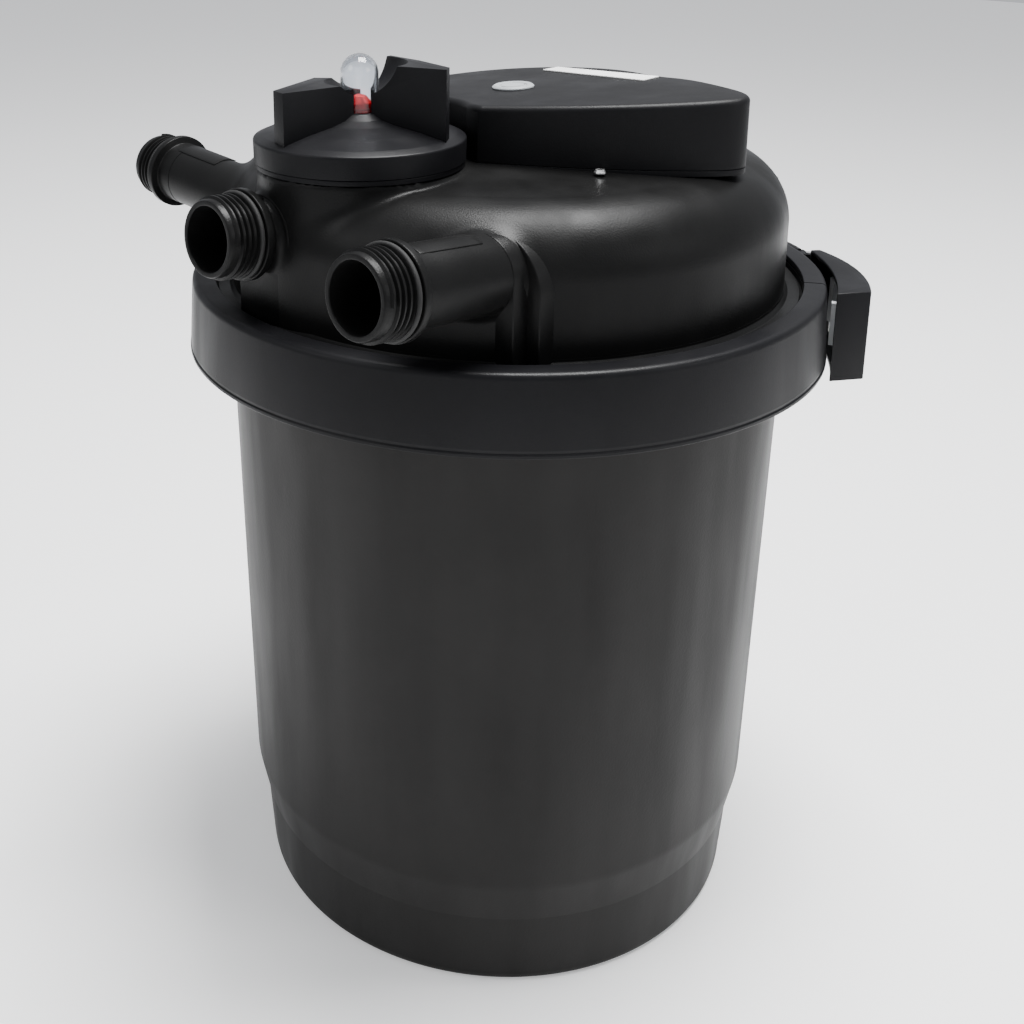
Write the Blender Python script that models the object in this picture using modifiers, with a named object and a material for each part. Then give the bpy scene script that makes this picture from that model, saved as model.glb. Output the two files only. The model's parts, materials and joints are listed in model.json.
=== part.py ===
"""Canister filter for a garden pond: a closed bucket, a domed lid with three hose ports and a
selector valve, a lamp box on top, and a clamp ring with an over-centre lever.

Units are metres, +Z is up, and the origin is the centre of the bucket's foot. Ports A and B
point along -Y, port C along -X.
"""
import math

import bmesh
import bpy
from mathutils import Matrix, Vector

GAP = 0.0003                      # clearance between pieces that touch

# Bucket
FOOT_R = 0.1605
FOOT_ROUND = 0.005
STEP_Z = 0.050
STEP_TOP_Z = 0.078
STEP_R = 0.1642
BODY_R = 0.1703
RIM_R = 0.1773
RIM_FLANGE_R = 0.1940
RIM_Z = 0.4020
RIM_FLANGE_H = 0.0130
WALL = 0.0035

# Clamp ring
RING_TOP = 0.4210
RING_BOTTOM = 0.3750
RING_R = 0.2008
RING_FLARE_R = 0.2038
RING_LIP_R = 0.1868
RING_WALL = 0.0045
SPLIT_AZIMUTH = 32.0

# Clamp lever, in degrees round the ring
LEVER_R_IN = 0.2066
LEVER_R_OUT = 0.2262
LEVER_END_AZIMUTH = 26.2
LEVER_ROOT_AZIMUTH = 53.0
PIVOT_AZIMUTH = 55.0
PIVOT_R = 0.2088
PIN_R = 0.0018
LEVER_TOP = 0.4215
LEVER_BOTTOM = 0.3650
LINK_AZIMUTH = 44.0
LINK_R = 0.2130
CATCH_AZIMUTH = 31.0

# Lid
LID_FLANGE_Z = 0.4150
LID_R = 0.1750
LID_WALL = 0.0035
LID_TOP = 0.5020
SHOULDER_R = 0.0380
DOME_DROP = 0.0045                 # how far the dome falls before its shoulder

# Selector valve
VALVE_X = -0.0101
VALVE_Y = -0.1159
CHAMBER_R = 0.0600
CHAMBER_BORE_R = 0.0560
CHAMBER_FLOOR = 0.4300
CHAMBER_TOP = 0.5025
KNOB_R = 0.0616
KNOB_BOTTOM = 0.5060
KNOB_SKIRT_TOP = 0.5190
KNOB_HUB_TOP = 0.5335
GLASS_R = 0.0110
GLASS_TOP = 0.5660
WING_LOW_Z = 0.5500
WING_HIGH_Z = 0.5610

# Hose ports
PORT_TILT = 4.5                   # degrees that the mouths look up
PORT_Z = 0.4710                   # height of a mouth's centre
PIPE_R = 0.0216
BORE_R = 0.0185
THREAD_R = 0.0239
COLLAR_R = 0.0263
SMALL_PIPE_R = 0.0195
SMALL_BORE_R = 0.0165
SMALL_THREAD_R = 0.0210
SMALL_COLLAR_R = 0.0240
PORT_A_X = 0.1040
PORT_A_MOUTH = 0.2225
PORT_B_X = -0.0300
PORT_B_MOUTH = 0.2120
PORT_C_Y = -0.1200
PORT_C_MOUTH = 0.2140
THREAD_LENGTH = 0.0225
THREAD_PITCH = 0.0070

# Lamp box and lamp
BOX_LOW = 0.5018
BOX_SPLIT = 0.5100
BOX_TOP_LEFT = 0.5320
BOX_TOP_RIGHT = 0.5430
SLOPE_AZIMUTH = 46.0              # the way the cover's top rises
SLOPE_START = -0.0750
SLOPE_END = 0.1335
LENS_X = 0.0130
LENS_Y = -0.0150
LENS_R = 0.0130
GLAND_X = 0.1065
GLAND_Y = 0.0643
GLAND_Z = 0.5185
GLAND_AZIMUTH = 69.4
SCREW_X = 0.1005
SCREW_Y = -0.0335
CLIP_AZIMUTH = 53.0
CLIP_PITCH = 12.0
SLEEVE_R = 0.0125
SLEEVE_BOTTOM = 0.2300

# Filter media
RISER_R = 0.0360
RISER_WALL = 0.0030
FOAM_R = 0.1590
FOAM_BOTTOM = 0.1030
FOAM_HEIGHT = 0.0600
FOAM_COUNT = 4

ROUND = 40                        # segments of the large round pieces
SMALL = 20                        # segments of the small round pieces


def clear_scene():
    for thing in list(bpy.data.objects):
        bpy.data.objects.remove(thing, do_unlink=True)


clear_scene()
PARTS = bpy.data.collections.new("canister_filter")
bpy.context.scene.collection.children.link(PARTS)
CUTTERS = bpy.data.collections.new("cutters")
bpy.context.scene.collection.children.link(CUTTERS)


# ---------------------------------------------------------------- materials

def make_material(name, colour, roughness, metallic=0.0, alpha=1.0):
    material = bpy.data.materials.new(name)
    material.use_nodes = True
    shader = material.node_tree.nodes["Principled BSDF"]
    shader.inputs["Base Color"].default_value = (*colour, 1.0)
    shader.inputs["Roughness"].default_value = roughness
    shader.inputs["Metallic"].default_value = metallic
    shader.inputs["Alpha"].default_value = alpha
    return material


BUCKET_BLACK = make_material("bucket_black", (0.020, 0.019, 0.018), 0.55)
LID_BLACK = make_material("lid_black", (0.015, 0.015, 0.015), 0.50)
CLAMP_BLACK = make_material("clamp_black", (0.013, 0.013, 0.014), 0.45)
BOX_BLACK = make_material("box_black", (0.012, 0.012, 0.013), 0.50)
RUBBER_BLACK = make_material("rubber_black", (0.010, 0.010, 0.010), 0.70)
CLEAR_GLASS = make_material("clear_glass", (0.85, 0.90, 0.95), 0.05, 0.0, 0.35)
QUARTZ = make_material("quartz", (0.90, 0.93, 0.95), 0.05, 0.0, 0.35)
FLOAT_RED = make_material("float_red", (0.40, 0.01, 0.04), 0.40)
LIGHT_GREY = make_material("light_grey", (0.50, 0.50, 0.50), 0.45)
PLATE_WHITE = make_material("plate_white", (0.85, 0.85, 0.85), 0.50)
STEEL = make_material("steel", (0.60, 0.60, 0.60), 0.30, 1.0)
LAMP_WHITE = make_material("lamp_white", (0.90, 0.90, 0.92), 0.35)
FOAM_BLUE = make_material("foam_blue", (0.05, 0.16, 0.36), 0.95)
FOAM_GREEN = make_material("foam_green", (0.06, 0.26, 0.12), 0.95)
GRID_GREY = make_material("grid_grey", (0.06, 0.06, 0.06), 0.55)


# ---------------------------------------------------------------- helpers

def add_object(name, mesh, material=None):
    """A named part when it has a material, otherwise a hidden cutter."""
    thing = bpy.data.objects.new(name, mesh)
    if material is None:
        CUTTERS.objects.link(thing)
        thing.hide_render = True
        thing.display_type = "WIRE"
        return thing
    mesh.materials.append(material)
    PARTS.objects.link(thing)
    return thing


def place(thing, location=(0.0, 0.0, 0.0), rotation=(0.0, 0.0, 0.0)):
    thing.location = location
    thing.rotation_euler = [math.radians(angle) for angle in rotation]
    return thing


def turned(name, profile, steps, material=None, closed=True):
    """Turn (radius, height) points about Z; the outer side runs from top to bottom."""
    mesh = bpy.data.meshes.new(name)
    points = [(radius, 0.0, height) for radius, height in profile]
    edges = [(index, index + 1) for index in range(len(points) - 1)]
    if closed:
        edges.append((len(points) - 1, 0))
    mesh.from_pydata(points, edges, [])
    thing = add_object(name, mesh, material)
    screw = thing.modifiers.new("turn", "SCREW")
    screw.angle = math.tau
    screw.steps = steps
    screw.render_steps = steps
    screw.use_merge_vertices = True
    screw.merge_threshold = 0.00001
    screw.use_smooth_shade = True
    return thing


def cylinder(name, radius, low, high, material=None, steps=SMALL):
    profile = [(0.0, high), (radius, high), (radius, low), (0.0, low)]
    return turned(name, profile, steps, material, closed=False)


def tube(name, inner, outer, low, high, material=None, steps=SMALL):
    profile = [(inner, high), (outer, high), (outer, low), (inner, low)]
    return turned(name, profile, steps, material)


def box(name, low, high, material=None):
    mesh = bpy.data.meshes.new(name)
    shape = bmesh.new()
    bmesh.ops.create_cube(shape, size=1.0)
    size = Vector(high) - Vector(low)
    middle = (Vector(high) + Vector(low)) / 2.0
    bmesh.ops.scale(shape, vec=size, verts=shape.verts)
    bmesh.ops.translate(shape, vec=middle, verts=shape.verts)
    shape.to_mesh(mesh)
    shape.free()
    return add_object(name, mesh, material)


def prism(name, outline, low, high, material=None):
    """A flat outline of (x, y) points, anticlockwise, pushed up from low to high."""
    mesh = bpy.data.meshes.new(name)
    shape = bmesh.new()
    corners = [shape.verts.new((x, y, low)) for x, y in outline]
    face = shape.faces.new(corners)
    pushed = bmesh.ops.extrude_face_region(shape, geom=[face])
    raised = [item for item in pushed["geom"] if isinstance(item, bmesh.types.BMVert)]
    bmesh.ops.translate(shape, vec=(0.0, 0.0, high - low), verts=raised)
    bmesh.ops.recalc_face_normals(shape, faces=shape.faces)
    shape.to_mesh(mesh)
    shape.free()
    return add_object(name, mesh, material)


def torus(name, radius, thickness, material, steps=SMALL, sides=6):
    """A ring of round section, such as an O-ring, centred on the origin."""
    profile = []
    for index in range(sides):
        angle = math.tau * (0.5 - index / sides)
        profile.append((radius + thickness * math.cos(angle), thickness * math.sin(angle)))
    return turned(name, profile, steps, material)


def combine(thing, other, operation):
    change = thing.modifiers.new(operation.lower(), "BOOLEAN")
    change.operation = operation
    change.solver = "EXACT"
    change.object = other
    weld = thing.modifiers.new("weld", "WELD")
    weld.merge_threshold = 0.00001


def join(thing, others):
    for other in others:
        combine(thing, other, "UNION")
    return thing


def cut(thing, others):
    for other in others:
        combine(thing, other, "DIFFERENCE")
    return thing


def round_edges(thing, width, segments=2, angle=40.0):
    bevel = thing.modifiers.new("rounded", "BEVEL")
    bevel.width = width
    bevel.segments = segments
    bevel.limit_method = "ANGLE"
    bevel.angle_limit = math.radians(angle)
    bevel.use_clamp_overlap = True
    return thing


def polar(radius, azimuth):
    angle = math.radians(azimuth)
    return radius * math.cos(angle), radius * math.sin(angle)


def arc(centre, radius, start, end, count):
    """Points on an arc, both ends included, angles in degrees."""
    points = []
    for index in range(count):
        x, y = polar(radius, start + (end - start) * index / (count - 1))
        points.append((centre[0] + x, centre[1] + y))
    return points


# ---------------------------------------------------------------- bucket and clamp

def make_container():
    foot_round = arc((FOOT_R - FOOT_ROUND, FOOT_ROUND), FOOT_ROUND, 0.0, -90.0, 4)
    outside = [
        (RIM_FLANGE_R, RIM_Z),
        (RIM_FLANGE_R, RIM_Z - RIM_FLANGE_H),
        (RIM_R, RIM_Z - RIM_FLANGE_H),
        (BODY_R, STEP_TOP_Z),
        (STEP_R, STEP_Z),
    ]
    inside = [
        (0.0, WALL + 0.001),
        (FOOT_R - 0.008, WALL + 0.001),
        (FOOT_R - WALL, 0.010),
        (STEP_R - WALL, STEP_Z),
        (BODY_R - WALL, STEP_TOP_Z),
        (RIM_R - WALL, RIM_Z - RIM_FLANGE_H),
        (RIM_R - WALL, RIM_Z),
    ]
    profile = inside + outside + foot_round + [(0.0, 0.0)]
    return turned("container", profile, ROUND, BUCKET_BLACK, closed=False)


def make_clamp_ring():
    inner_top = RING_TOP - 0.004
    grip_z = RIM_Z - RIM_FLANGE_H - GAP
    flare = (RING_FLARE_R - RING_R) / (RING_TOP - RING_BOTTOM)
    profile = [
        (RING_LIP_R, RING_TOP),
        (RING_R - 0.003, RING_TOP),
        (RING_R, RING_TOP - 0.003),
        (RING_FLARE_R, RING_BOTTOM),
        (RING_FLARE_R - RING_WALL, RING_BOTTOM),
        (RING_FLARE_R - RING_WALL - flare * 0.008, RING_BOTTOM + 0.008),
        (RING_LIP_R, grip_z - 0.003),
        (RING_LIP_R, grip_z),
        (RIM_FLANGE_R + 0.001, grip_z),
        (RIM_FLANGE_R + 0.001, inner_top),
        (RING_LIP_R, inner_top),
    ]
    ring = turned("clamp_ring", profile, ROUND, CLAMP_BLACK)
    split = box("ring_split", (0.17, -0.0006, 0.3650), (0.21, 0.0006, 0.4250))
    place(split, rotation=(0.0, 0.0, SPLIT_AZIMUTH))
    return cut(ring, [split])


def ring_plate(name, start, end, inner, outer, low, high, material=None, count=5):
    """A plate that follows the ring, between two azimuths."""
    outline = arc((0.0, 0.0), outer, start, end, count) + arc((0.0, 0.0), inner, end, start, count)
    return prism(name, outline, low, high, material)


def knuckle(name, radius, low, high, material=None):
    x, y = polar(PIVOT_R, PIVOT_AZIMUTH)
    return place(cylinder(name, radius, low, high, material, 16), (x, y, 0.0))


def make_pivot_bracket():
    inner = RING_FLARE_R + GAP
    plate = ring_plate("pivot_bracket", 57.0, 66.0, inner, inner + 0.0028, 0.3780, 0.4180, CLAMP_BLACK)
    lugs = []
    for label, low, high in (("low", 0.3790, 0.3860), ("high", 0.4100, 0.4170)):
        lugs.append(ring_plate("lug_" + label, 54.6, 57.5, inner, inner + 0.0050, low, high))
        lugs.append(knuckle("lug_eye_" + label, 0.0042, low, high))
    join(plate, lugs)
    x, y = polar(PIVOT_R, PIVOT_AZIMUTH)
    bore = place(cylinder("bracket_bore", PIN_R + GAP, 0.3650, 0.4350, None, 16), (x, y, 0.0))
    return cut(plate, [bore])


def make_lever():
    """The lever bends round the ring, thin at its pivot, and is hollow on the ring's side."""
    pivot = polar(PIVOT_R, PIVOT_AZIMUTH)
    count = 9
    span = LEVER_ROOT_AZIMUTH - LEVER_END_AZIMUTH
    outer = []
    inner = []
    for index in range(count):
        share = index / (count - 1)
        azimuth = LEVER_END_AZIMUTH + span * share
        depth = (LEVER_R_OUT - 0.2130) * (1.0 - share ** 2.2)
        outer.append(polar(0.2130 + depth, azimuth + 2.9 * (1.0 - share)))
        inner.append(polar(LEVER_R_IN, azimuth))
    lever = prism("clamp_lever", outer + inner[::-1], LEVER_BOTTOM, LEVER_TOP, CLAMP_BLACK)
    hollow_outline = []
    for index in range(count):
        share = index / (count - 1)
        azimuth = LEVER_END_AZIMUTH + 1.0 + (span - 3.5) * share
        depth = (LEVER_R_OUT - 0.2130) * (1.0 - share ** 2.2)
        hollow_outline.append(polar(0.2130 + depth - 0.0032 + 0.0026 * share, azimuth + 2.4 * (1.0 - share)))
    for index in range(count - 1, -1, -1):
        share = index / (count - 1)
        azimuth = LEVER_END_AZIMUTH + 1.0 + (span - 3.5) * share
        hollow_outline.append(polar(LEVER_R_IN - 0.002, azimuth))
    hollow = prism("lever_hollow", hollow_outline, LEVER_BOTTOM + 0.004, LEVER_TOP - 0.004)
    barrel = knuckle("lever_barrel", 0.0042, 0.3865, 0.4095)
    web = prism("lever_web", [
        polar(0.2070, 50.0), polar(0.2128, 50.0), (pivot[0] + 0.0015, pivot[1] + 0.0036),
        (pivot[0] - 0.0008, pivot[1] - 0.0012),
    ], 0.3865, 0.4095)
    bore = place(cylinder("lever_bore", PIN_R + GAP, 0.3650, 0.4350, None, 16), (pivot[0], pivot[1], 0.0))
    link_x, link_y = polar(LINK_R, LINK_AZIMUTH)
    link_bore = place(cylinder("lever_link_bore", 0.0015 + GAP, 0.3750, 0.4205, None, 12), (link_x, link_y, 0.0))
    swing = knuckle("lug_clearance", 0.0052, 0.3650, 0.3862)
    swing_high = knuckle("lug_clearance_high", 0.0052, 0.4098, 0.4350)
    cut(lever, [hollow])
    join(lever, [barrel, web])
    return cut(lever, [bore, link_bore, swing, swing_high])


def make_link():
    """A flat hook from the lever's own pin to the rib on the ring's other end."""
    eye_x, eye_y = polar(LINK_R, LINK_AZIMUTH)
    tip = polar(0.2116, CATCH_AZIMUTH - 2.35)
    low, high = 0.3830, 0.4120
    reach = Vector((tip[0] - eye_x, tip[1] - eye_y))
    along = reach.normalized()
    side = Vector((-along.y, along.x))
    if side.dot(Vector((eye_x, eye_y))) < 0.0:
        side = -side
    start = Vector((eye_x, eye_y)) + along * 0.001
    end = Vector(tip)
    corners = [start - side * 0.0012, end - side * 0.0012, end + side * 0.0012, start + side * 0.0012]
    bar = prism("clamp_link", [tuple(corner) for corner in corners], low, high, LIGHT_GREY)
    tooth_root = end - along * 0.0022
    tooth = [
        end - side * 0.0052, end + side * 0.0005, tooth_root + side * 0.0005, tooth_root - side * 0.0046,
    ]
    hook = prism("link_tooth", [tuple(corner) for corner in tooth], low, high)
    eye = place(cylinder("link_eye", 0.0032, low, high, None, 16), (eye_x, eye_y, 0.0))
    bore = place(cylinder("link_bore", 0.0015 + GAP, 0.3650, 0.4350, None, 12), (eye_x, eye_y, 0.0))
    join(bar, [hook, eye])
    return cut(bar, [bore])


def make_catch_bracket():
    """The rib on the ring's other end, which the link hooks over."""
    inner = RING_FLARE_R + GAP
    ring_plate("catch_bracket", 30.0, 31.3, inner, inner + 0.0046, 0.3840, 0.4110, LIGHT_GREY, 3)


def make_clamp_pins():
    pivot = polar(PIVOT_R, PIVOT_AZIMUTH)
    link = polar(LINK_R, LINK_AZIMUTH)
    place(cylinder("lever_pin", PIN_R, 0.3785, 0.4175, STEEL, 16), (pivot[0], pivot[1], 0.0))
    place(cylinder("link_pin", 0.0015, 0.3755, 0.4200, STEEL, 12), (link[0], link[1], 0.0))


# ---------------------------------------------------------------- lid and ports

def lid_profile():
    shoulder_x = LID_R - SHOULDER_R
    top = LID_TOP - DOME_DROP
    shoulder = arc((shoulder_x, top - SHOULDER_R), SHOULDER_R, 78.0, 0.0, 6)
    inner_shoulder = arc((shoulder_x, top - SHOULDER_R), SHOULDER_R - LID_WALL, 0.0, 78.0, 5)
    seal_groove = [(0.1935, 0.4025), (0.1935, 0.4085), (0.1865, 0.4085), (0.1865, 0.4025)]
    flange_under = RING_TOP - 0.004 - GAP
    outside = [(0.0, LID_TOP), (0.1000, LID_TOP - 0.0010)] + shoulder + [
        (LID_R, LID_FLANGE_Z + 0.003),
        (LID_R + 0.003, LID_FLANGE_Z),
        (0.1850, LID_FLANGE_Z),
        (0.1855, flange_under - 0.004),
        (0.1870, flange_under - 0.004),
        (0.1874, flange_under),
        (RIM_FLANGE_R + 0.0004, flange_under),
    ]
    under = [(RIM_FLANGE_R + 0.0004, RIM_Z + 0.0005)] + seal_groove
    inside = [(0.1765, RIM_Z + 0.0005), (0.1740, LID_FLANGE_Z)] + inner_shoulder + [
        (0.1000, LID_TOP - LID_WALL - 0.0010),
        (0.0, LID_TOP - LID_WALL),
    ]
    return outside + under + inside


def port_profile(length, pipe, thread, collar):
    """Hose port from its mouth at height 0 down to -length, with thread ridges and a collar."""
    root = thread - 0.0016
    points = [(0.0, 0.0), (root - 0.0014, 0.0), (root, -0.0016)]
    for turn in range(2):
        crest = -0.0040 - THREAD_PITCH * turn
        points.append((thread, crest - 0.0010))
        points.append((root, crest - 0.0030))
    neck = -THREAD_LENGTH
    points += [
        (root, neck),
        (collar, neck - 0.0004),
        (collar, neck - 0.0042),
        (pipe, neck - 0.0058),
        (pipe, -length),
        (0.0, -length),
    ]
    return points


def hood(name, x, radius, centre_z, front, back):
    """A round-topped block from the flange up, which carries a port as far back as the dome."""
    top = arc((0.0, centre_z), radius, 0.0, 180.0, 9)
    outline = [(-radius, LID_FLANGE_Z - 0.001), (radius, LID_FLANGE_Z - 0.001)] + top
    block = prism(name, outline, 0.0, back - front)
    turn = Matrix(((1.0, 0.0, 0.0), (0.0, 0.0, 1.0), (0.0, 1.0, 0.0))).to_4x4()
    block.data.transform(turn)
    block.data.flip_normals()
    return place(block, (x, front, 0.0))


def port_places():
    """Each port's label, mouth centre, rotation, and its pipe, bore, thread and collar radii."""
    turn_y = (90.0 - PORT_TILT, 0.0, 0.0)
    turn_x = (0.0, PORT_TILT - 90.0, 0.0)
    wide = (PIPE_R, BORE_R, THREAD_R, COLLAR_R)
    narrow = (SMALL_PIPE_R, SMALL_BORE_R, SMALL_THREAD_R, SMALL_COLLAR_R)
    return (
        ("a", (PORT_A_X, -PORT_A_MOUTH, PORT_Z), turn_y, wide),
        ("b", (PORT_B_X, -PORT_B_MOUTH, PORT_Z), turn_y, wide),
        ("c", (-PORT_C_MOUTH, PORT_C_Y, PORT_Z), turn_x, narrow),
    )


def make_lid():
    lid = turned("lid", lid_profile(), ROUND, LID_BLACK, closed=False)
    chamber = cylinder("chamber_wall", CHAMBER_R, LID_FLANGE_Z - 0.0005, CHAMBER_TOP, None, 40)
    solids = [place(chamber, (VALVE_X, VALVE_Y, 0.0))]
    bores = []
    lengths = {"a": (0.110, 0.130), "b": (0.060, 0.090), "c": (0.150, 0.180)}
    for label, mouth, turn, sizes in port_places():
        pipe, bore, thread, collar = sizes
        length, depth = lengths[label]
        shape = turned("port_" + label, port_profile(length, pipe, thread, collar), SMALL, None, closed=False)
        solids.append(place(shape, mouth, turn))
        bores.append(place(cylinder("bore_" + label, bore, -depth, 0.01), mouth, turn))
    solids.append(hood("hood_a", PORT_A_X, 0.0221, 0.4640, -0.1330, -0.1050))
    solids.append(hood("hood_b", -0.0260, 0.0232, 0.4680, -0.1765, -0.1500))
    join(lid, solids)
    chamber_bore = cylinder("chamber_bore", CHAMBER_BORE_R, CHAMBER_FLOOR, 0.5250, None, 40)
    floor_hole = cylinder("chamber_floor_hole", 0.0300, 0.3950, 0.4450)
    for cutter in (chamber_bore, floor_hole):
        place(cutter, (VALVE_X, VALVE_Y, 0.0))
    sleeve_hole = cylinder("sleeve_hole", 0.0190, 0.4850, 0.5250)
    return cut(lid, [chamber_bore, floor_hole, sleeve_hole] + bores)


def make_port_seals():
    """An O-ring behind the thread of each hose port."""
    for label, mouth, turn, sizes in port_places():
        radius = sizes[2] - 0.0016 + GAP + 0.0015
        ring = torus("port_seal_" + label, radius, 0.0014, RUBBER_BLACK)
        place(ring, mouth, turn)
        back = ring.rotation_euler.to_matrix() @ Vector((0.0, 0.0, 0.0022 - THREAD_LENGTH))
        ring.location = Vector(mouth) + back


def make_lid_seal():
    seal = torus("lid_seal", 0.1900, 0.0026, RUBBER_BLACK, ROUND)
    return place(seal, (0.0, 0.0, RIM_Z + 0.0030))


# ---------------------------------------------------------------- selector valve

def make_valve_collar():
    low = CHAMBER_TOP + GAP
    collar = tube("valve_collar", CHAMBER_BORE_R, CHAMBER_R + 0.0008, low, KNOB_BOTTOM - GAP, CLAMP_BLACK, 40)
    return place(collar, (VALVE_X, VALVE_Y, 0.0))


def make_rotor():
    """A ported barrel: its windows line up with the ports as the knob turns."""
    outer = CHAMBER_BORE_R - 0.0022
    profile = [
        (0.0150, KNOB_BOTTOM - GAP), (0.0150, 0.4980), (outer, 0.4980), (outer, 0.4320),
        (outer - 0.004, 0.4320), (outer - 0.004, 0.4935), (0.0, 0.4935),
    ]
    rotor = turned("valve_rotor", [(0.0, KNOB_BOTTOM - GAP)] + profile, 40, GRID_GREY, closed=False)
    place(rotor, (VALVE_X, VALVE_Y, 0.0))
    windows = []
    for label, turn in (("b", -90.0), ("c", 180.0)):
        window = box("rotor_window_" + label, (0.030, -0.020, 0.4440), (0.070, 0.020, 0.4830))
        windows.append(place(window, (VALVE_X, VALVE_Y, 0.0), (0.0, 0.0, turn)))
    return cut(rotor, windows)


def make_rotor_seals():
    for label, height in (("upper", 0.4955), ("lower", 0.4395)):
        seal = torus("rotor_seal_" + label, CHAMBER_BORE_R - 0.0011, 0.00075, RUBBER_BLACK, 28)
        place(seal, (VALVE_X, VALVE_Y, height))


def wing(name, outline, height):
    """One upright block of the grip; the outline is in millimetres from the valve's axis."""
    points = [(x / 1000.0, y / 1000.0) for x, y in outline]
    block = prism(name, points, KNOB_SKIRT_TOP - 0.0060, height)
    return place(block, (VALVE_X, VALVE_Y, 0.0))


def make_knob():
    crown = [
        (GLASS_R + GAP, KNOB_HUB_TOP), (0.0135, KNOB_HUB_TOP - 0.0005), (0.0180, 0.5300),
        (0.0260, 0.5275), (0.0420, 0.5245), (0.0560, 0.5210), (KNOB_R - 0.0012, KNOB_SKIRT_TOP),
        (KNOB_R, KNOB_SKIRT_TOP - 0.0015), (KNOB_R, KNOB_BOTTOM + 0.0006),
        (KNOB_R - 0.0006, KNOB_BOTTOM), (GLASS_R + GAP, KNOB_BOTTOM),
    ]
    knob = turned("selector_knob", crown, 40, CLAMP_BLACK)
    place(knob, (VALVE_X, VALVE_Y, 0.0))
    near = [(-28.0, -10.0), (-8.2, -56.0), (2.5, -57.9), (7.0, -11.0), (-8.0, 8.0)]
    far = [(12.0, -2.0), (55.6, 14.5), (50.5, 22.0), (19.3, 29.0), (-3.0, 12.0)]
    join(knob, [wing("wing_near", near, WING_LOW_Z), wing("wing_far", far, WING_HIGH_Z)])
    scoop_z = 0.5710
    scoop_r = 0.0295
    scoop = turned("knob_scoop", arc((0.0, scoop_z), scoop_r, 90.0, -90.0, 9), 32, None, closed=False)
    glass_well = cylinder("glass_well", GLASS_R + GAP, 0.4550, 0.6050, None, 24)
    for cutter in (scoop, glass_well):
        place(cutter, (VALVE_X, VALVE_Y, 0.0))
    return cut(knob, [scoop, glass_well])


def make_sight_glass():
    wall = 0.0013
    rim = KNOB_BOTTOM + 0.0020
    outside = arc((0.0, GLASS_TOP - GLASS_R), GLASS_R, 90.0, 0.0, 6)
    inside = arc((0.0, GLASS_TOP - GLASS_R), GLASS_R - wall, 0.0, 90.0, 5)
    profile = outside + [(GLASS_R, rim), (GLASS_R - wall, rim)] + inside
    glass = turned("sight_glass", profile, 20, CLEAR_GLASS, closed=False)
    return place(glass, (VALVE_X, VALVE_Y, 0.0))


def make_indicator():
    """A red float on a light spring: it rises in the glass as the foam clogs."""
    base = KNOB_BOTTOM + 0.0010
    float_low = 0.5250
    profile = [
        (0.0, 0.5430), (0.0040, 0.5418), (0.0070, 0.5380), (0.0070, float_low), (0.0, float_low),
    ]
    red = turned("indicator_float", profile, 20, FLOAT_RED, closed=False)
    place(red, (VALVE_X, VALVE_Y, 0.0))
    turns = 4
    per_turn = 8
    count = turns * per_turn
    low = base + 0.0012
    high = float_low - 0.0012
    curve = bpy.data.curves.new("indicator_spring", "CURVE")
    curve.dimensions = "3D"
    curve.bevel_depth = 0.0005
    curve.bevel_resolution = 1
    curve.use_fill_caps = True
    line = curve.splines.new("POLY")
    line.points.add(count)
    for index in range(count + 1):
        x, y = polar(0.0055, 360.0 * index / per_turn)
        height = low + (high - low) * index / count
        line.points[index].co = (x, y, height, 1.0)
    spring = bpy.data.objects.new("indicator_spring", curve)
    curve.materials.append(STEEL)
    PARTS.objects.link(spring)
    place(spring, (VALVE_X, VALVE_Y, 0.0))


# ---------------------------------------------------------------- lamp box and lamp

def box_outline(inset=0.0):
    """The kidney-shaped plan of the lamp box, anticlockwise from the left end of its front.

    The front left is hollowed round the valve's knob.
    """
    front = [(0.0340, -0.0640), (0.0660, -0.0470), (0.0980, -0.0260), (0.1270, -0.0020), (0.1480, 0.0210)]
    right = [(0.1520, 0.0340), (0.1440, 0.0470), (0.1180, 0.0600), (0.0860, 0.0720)]
    back = arc((0.0180, -0.0060), 0.0880, 62.0, 170.0, 8)
    hollow = arc((VALVE_X, VALVE_Y), 0.0640, 120.0, 58.0, 6)
    points = [Vector(point) for point in front + right + back + hollow]
    if inset == 0.0:
        return [tuple(point) for point in points]
    outline = []
    count = len(points)
    for index, point in enumerate(points):
        before = (point - points[index - 1]).normalized()
        after = (points[(index + 1) % count] - point).normalized()
        normal_in = Vector((-before.y - after.y, before.x + after.x)).normalized()
        spread = max(normal_in.dot(Vector((-before.y, before.x))), 0.5)
        outline.append(tuple(point + normal_in * (inset / spread)))
    return outline


def top_height(x, y):
    """Height of the cover's top, which rises from the valve's side towards the far right."""
    reach = Vector((x, y)).dot(Vector(polar(1.0, SLOPE_AZIMUTH)))
    share = (reach - SLOPE_START) / (SLOPE_END - SLOPE_START)
    return BOX_TOP_LEFT + (BOX_TOP_RIGHT - BOX_TOP_LEFT) * share


def sloped_top(thing, split_height, drop=0.0):
    for vertex in thing.data.vertices:
        if vertex.co.z > split_height:
            vertex.co.z = top_height(vertex.co.x, vertex.co.y) - drop
    return thing


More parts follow.
